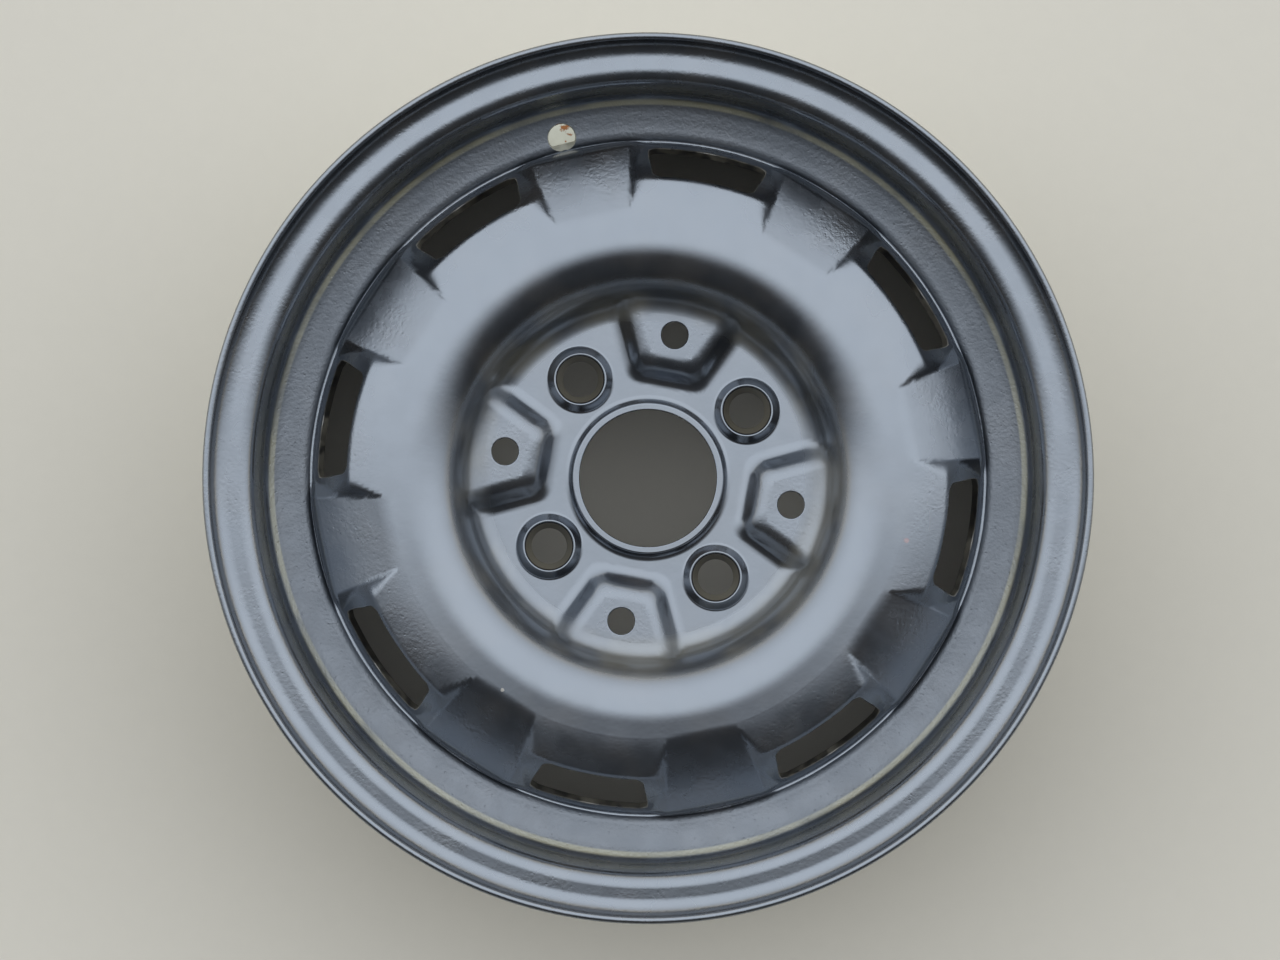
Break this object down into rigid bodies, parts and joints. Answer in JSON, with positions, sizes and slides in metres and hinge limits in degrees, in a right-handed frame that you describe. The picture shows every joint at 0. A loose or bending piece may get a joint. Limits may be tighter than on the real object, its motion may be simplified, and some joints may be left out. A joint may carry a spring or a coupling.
{
  "type": "steel wheel rim",
  "caption": "Bare pressed-steel road wheel rim in satin black, with a vented disc, a deep bowl, raised clip pads and coned bolt holes.",
  "frame": {"origin": "centre of the bore in the hub mounting face", "axes": "+Z along the axle, outboard; the clip pads lie along X and Y, the bolt holes between them"},
  "size_m": [0.364, 0.3638, 0.153],
  "materials": {
    "black_paint": "satin"
  },
  "bodies": {
    "root": {"rim": "black_paint", "wheel_disc": "black_paint", "weld_beads": "black_paint"}
  },
  "joints": []
}
